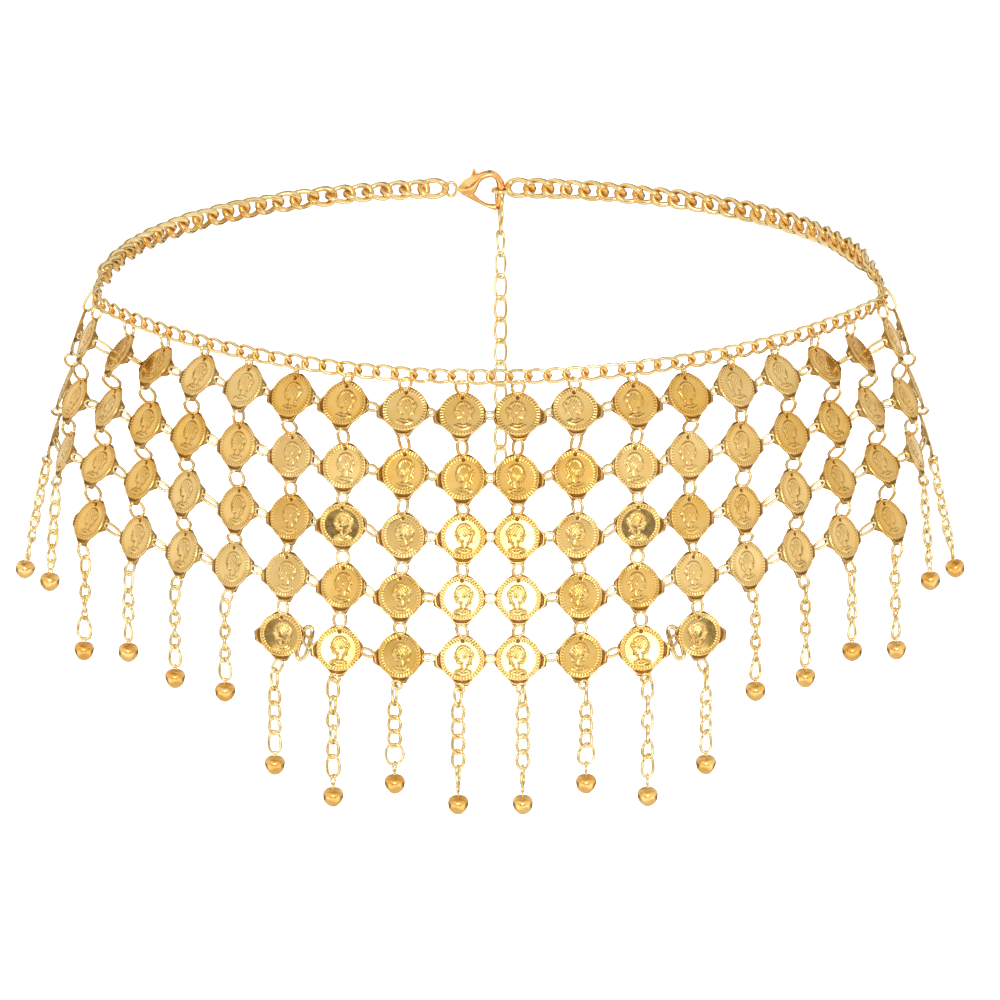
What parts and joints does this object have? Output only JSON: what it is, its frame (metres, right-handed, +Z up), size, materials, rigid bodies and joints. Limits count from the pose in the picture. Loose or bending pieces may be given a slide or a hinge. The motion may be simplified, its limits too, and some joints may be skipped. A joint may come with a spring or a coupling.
{
  "type": "coin hip belt",
  "caption": "Dancer's metal hip belt: a curb chain ring closed by a lobster claw, with a net of stamped coins round the front and chain drops ending in jingle bells.",
  "frame": {"origin": "centre of the waist ring, at the middle of the height of its chains", "axes": "+X to the right seen from the front, -Y to the front where the coins hang, +Z up"},
  "size_m": [0.3734, 0.255, 0.1723],
  "materials": {
    "coin_gold": "stamped thin brass with a bright gold plating, polished high spots over a darker relief",
    "chain_gold": "gold-plated curb chain and jump rings, bright and slightly worn",
    "bell_gold": "gold-plated chain drops and pressed bells, bright",
    "claw_gold": "cast clasp with a warmer gold plating, polished"
  },
  "bodies": {
    "belt": {"back_chain_left_1": "chain_gold", "back_chain_left_2": "chain_gold", "back_chain_left_3": "chain_gold", "back_chain_left_4": "chain_gold", "back_chain_right_1": "chain_gold", "back_chain_right_2": "chain_gold", "back_chain_right_3": "chain_gold", "back_chain_right_4": "chain_gold", "claw": "claw_gold", "claw_lever": "claw_gold", "coin_column_01": "coin_gold", "coin_column_02": "coin_gold", "coin_column_03": "coin_gold", "coin_column_04": "coin_gold", "coin_column_05": "coin_gold", "coin_column_06": "coin_gold", "coin_column_07": "coin_gold", "coin_column_08": "coin_gold", "coin_column_09": "coin_gold", "coin_column_10": "coin_gold", "coin_column_11": "coin_gold", "coin_column_12": "coin_gold", "coin_column_13": "coin_gold", "coin_column_14": "coin_gold", "coin_column_15": "coin_gold", "coin_column_16": "coin_gold", "coin_column_17": "coin_gold", "coin_column_18": "coin_gold", "coin_column_19": "coin_gold", "coin_column_20": "coin_gold", "front_chain_1": "chain_gold", "front_chain_2": "chain_gold", "front_chain_3": "chain_gold", "front_chain_4": "chain_gold", "front_chain_5": "chain_gold", "front_chain_6": "chain_gold", "hook_ring": "chain_gold", "swivel_ring": "chain_gold"},
    "swing_01": {"drop_01": "bell_gold"},
    "swing_02": {"drop_02": "bell_gold"},
    "swing_03": {"drop_03": "bell_gold"},
    "swing_04": {"drop_04": "bell_gold"},
    "swing_05": {"drop_05": "bell_gold"},
    "swing_06": {"drop_06": "bell_gold"},
    "swing_07": {"drop_07": "bell_gold"},
    "swing_08": {"drop_08": "bell_gold"},
    "swing_09": {"drop_09": "bell_gold"},
    "swing_10": {"drop_10": "bell_gold"},
    "swing_11": {"drop_11": "bell_gold"},
    "swing_12": {"drop_12": "bell_gold"},
    "swing_13": {"drop_13": "bell_gold"},
    "swing_14": {"drop_14": "bell_gold"},
    "swing_15": {"drop_15": "bell_gold"},
    "swing_16": {"drop_16": "bell_gold"},
    "swing_17": {"drop_17": "bell_gold"},
    "swing_18": {"drop_18": "bell_gold"},
    "swing_19": {"drop_19": "bell_gold"},
    "swing_20": {"drop_20": "bell_gold"},
    "tail": {"tail_chain": "chain_gold"}
  },
  "joints": [
    {"name": "drop_01_hinge", "type": "hinge", "parent": "belt", "child": "swing_01", "pos_m": [-0.17283, 0.01752, -0.07391], "axis": [0.054, 0.9985, 0], "range_deg": [0, 80]},
    {"name": "drop_02_hinge", "type": "hinge", "parent": "belt", "child": "swing_02", "pos_m": [-0.1659, -0.01392, -0.07084], "axis": [-0.483, 0.8756, 0], "range_deg": [0, 80]},
    {"name": "drop_03_hinge", "type": "hinge", "parent": "belt", "child": "swing_03", "pos_m": [-0.15356, -0.03587, -0.09187], "axis": [-0.6471, 0.7624, 0], "range_deg": [0, 80]},
    {"name": "drop_04_hinge", "type": "hinge", "parent": "belt", "child": "swing_04", "pos_m": [-0.1361, -0.05138, -0.09188], "axis": [-0.7287, 0.6848, 0], "range_deg": [0, 80]},
    {"name": "drop_05_hinge", "type": "hinge", "parent": "belt", "child": "swing_05", "pos_m": [-0.11772, -0.06506, -0.09202], "axis": [-0.7946, 0.6072, 0], "range_deg": [0, 80]},
    {"name": "drop_06_hinge", "type": "hinge", "parent": "belt", "child": "swing_06", "pos_m": [-0.09835, -0.07706, -0.09216], "axis": [-0.853, 0.522, 0], "range_deg": [0, 80]},
    {"name": "drop_07_hinge", "type": "hinge", "parent": "belt", "child": "swing_07", "pos_m": [-0.07974, -0.09102, -0.11418], "axis": [-0.9048, 0.4258, 0], "range_deg": [0, 80]},
    {"name": "drop_08_hinge", "type": "hinge", "parent": "belt", "child": "swing_08", "pos_m": [-0.05786, -0.09914, -0.11428], "axis": [-0.9484, 0.3169, 0], "range_deg": [0, 80]},
    {"name": "drop_09_hinge", "type": "hinge", "parent": "belt", "child": "swing_09", "pos_m": [-0.03511, -0.1048, -0.11435], "axis": [-0.9806, 0.1961, 0], "range_deg": [0, 80]},
    {"name": "drop_10_hinge", "type": "hinge", "parent": "belt", "child": "swing_10", "pos_m": [-0.01178, -0.10772, -0.11438], "axis": [-0.9978, 0.0664, 0], "range_deg": [0, 80]},
    {"name": "drop_11_hinge", "type": "hinge", "parent": "belt", "child": "swing_11", "pos_m": [0.01178, -0.10772, -0.11438], "axis": [-0.9978, -0.0664, 0], "range_deg": [0, 80]},
    {"name": "drop_12_hinge", "type": "hinge", "parent": "belt", "child": "swing_12", "pos_m": [0.03511, -0.1048, -0.11435], "axis": [-0.9806, -0.1961, 0], "range_deg": [0, 80]},
    {"name": "drop_13_hinge", "type": "hinge", "parent": "belt", "child": "swing_13", "pos_m": [0.05786, -0.09914, -0.11428], "axis": [-0.9484, -0.3169, 0], "range_deg": [0, 80]},
    {"name": "drop_14_hinge", "type": "hinge", "parent": "belt", "child": "swing_14", "pos_m": [0.07974, -0.09102, -0.11418], "axis": [-0.9048, -0.4258, 0], "range_deg": [0, 80]},
    {"name": "drop_15_hinge", "type": "hinge", "parent": "belt", "child": "swing_15", "pos_m": [0.09835, -0.07706, -0.09216], "axis": [-0.853, -0.522, 0], "range_deg": [0, 80]},
    {"name": "drop_16_hinge", "type": "hinge", "parent": "belt", "child": "swing_16", "pos_m": [0.11772, -0.06506, -0.09202], "axis": [-0.7946, -0.6072, 0], "range_deg": [0, 80]},
    {"name": "drop_17_hinge", "type": "hinge", "parent": "belt", "child": "swing_17", "pos_m": [0.1361, -0.05138, -0.09188], "axis": [-0.7287, -0.6848, 0], "range_deg": [0, 80]},
    {"name": "drop_18_hinge", "type": "hinge", "parent": "belt", "child": "swing_18", "pos_m": [0.15356, -0.03587, -0.09187], "axis": [-0.6471, -0.7624, 0], "range_deg": [0, 80]},
    {"name": "drop_19_hinge", "type": "hinge", "parent": "belt", "child": "swing_19", "pos_m": [0.1659, -0.01392, -0.07084], "axis": [-0.483, -0.8756, 0], "range_deg": [0, 80]},
    {"name": "drop_20_hinge", "type": "hinge", "parent": "belt", "child": "swing_20", "pos_m": [0.17283, 0.01752, -0.07391], "axis": [0.054, -0.9985, 0], "range_deg": [0, 80]},
    {"name": "tail_hinge", "type": "hinge", "parent": "belt", "child": "tail", "pos_m": [0.0044, 0.139, -0.0073], "axis": [1, 0, 0], "range_deg": [0, 80]}
  ]
}
